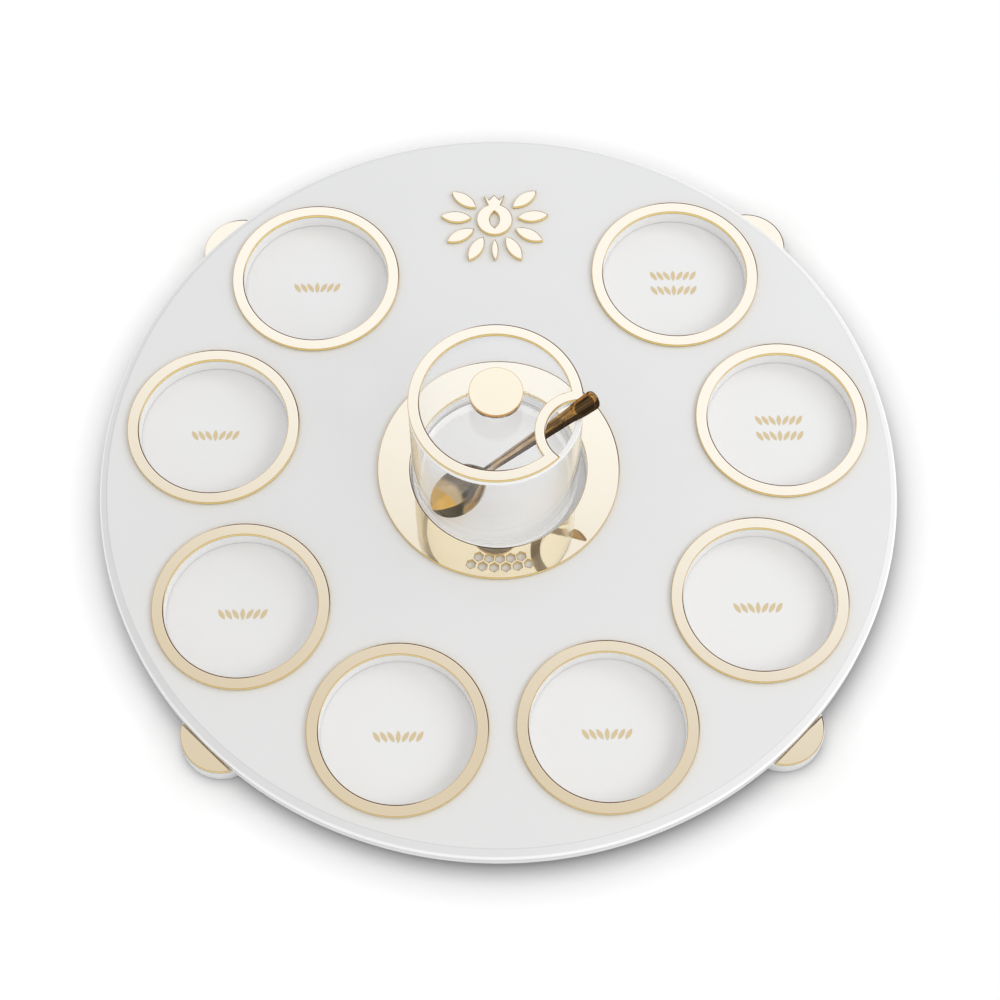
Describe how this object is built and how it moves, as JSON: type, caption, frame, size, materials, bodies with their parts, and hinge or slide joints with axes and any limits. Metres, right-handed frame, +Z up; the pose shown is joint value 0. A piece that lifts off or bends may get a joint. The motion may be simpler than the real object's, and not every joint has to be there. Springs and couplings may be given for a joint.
{
  "type": "rosh hashanah plate",
  "caption": "Round white plate on short feet, with gold-ringed round wells near its rim and a clear lidded honey dish with a leaning spoon in its middle.",
  "frame": {"origin": "on the table, under the plate's centre", "axes": "+Z up, +Y towards the back, where the ornament is, +X to the right"},
  "size_m": [0.406, 0.406, 0.1024],
  "materials": {
    "white_acrylic": "glossy white cast acrylic",
    "gold_mirror": "pale gold mirror acrylic",
    "clear_acrylic": "clear polished acrylic",
    "dark_bronze": "polished dark bronze metal"
  },
  "bodies": {
    "plate": {"plate_top": "white_acrylic", "base_plate": "white_acrylic", "foot_front_left": "white_acrylic", "foot_front_right": "white_acrylic", "foot_back_left": "white_acrylic", "foot_back_right": "white_acrylic", "well_ring_1": "gold_mirror", "well_ring_2": "gold_mirror", "well_ring_3": "gold_mirror", "well_ring_4": "gold_mirror", "well_ring_5": "gold_mirror", "well_ring_6": "gold_mirror", "well_ring_7": "gold_mirror", "well_ring_8": "gold_mirror", "centre_ring": "gold_mirror", "cap_front_left": "gold_mirror", "cap_front_right": "gold_mirror", "cap_back_left": "gold_mirror", "cap_back_right": "gold_mirror", "ornament_fruit": "gold_mirror", "ornament_stem": "gold_mirror", "ornament_leaf_1": "gold_mirror", "ornament_leaf_2": "gold_mirror", "ornament_leaf_3": "gold_mirror", "ornament_leaf_4": "gold_mirror", "ornament_leaf_5": "gold_mirror", "ornament_leaf_6": "gold_mirror", "ornament_leaf_7": "gold_mirror", "ornament_leaf_8": "gold_mirror"},
    "honey_dish": {"honey_dish": "clear_acrylic"},
    "lid": {"lid_disc": "clear_acrylic", "lid_ring": "gold_mirror", "knob_post": "clear_acrylic", "knob_disc": "clear_acrylic", "knob_cap": "gold_mirror"},
    "spoon": {"spoon": "dark_bronze"}
  },
  "joints": [
    {"name": "dish_lift", "type": "slide", "parent": "plate", "child": "honey_dish", "axis": [0, 0, 1], "range_m": [0, 0.06]},
    {"name": "lid_lift", "type": "slide", "parent": "honey_dish", "child": "lid", "axis": [0, 0, 1], "range_m": [0, 0.05]},
    {"name": "spoon_draw", "type": "slide", "parent": "honey_dish", "child": "spoon", "axis": [0.6698, 0.132, 0.7307], "range_m": [0, 0.045]}
  ]
}
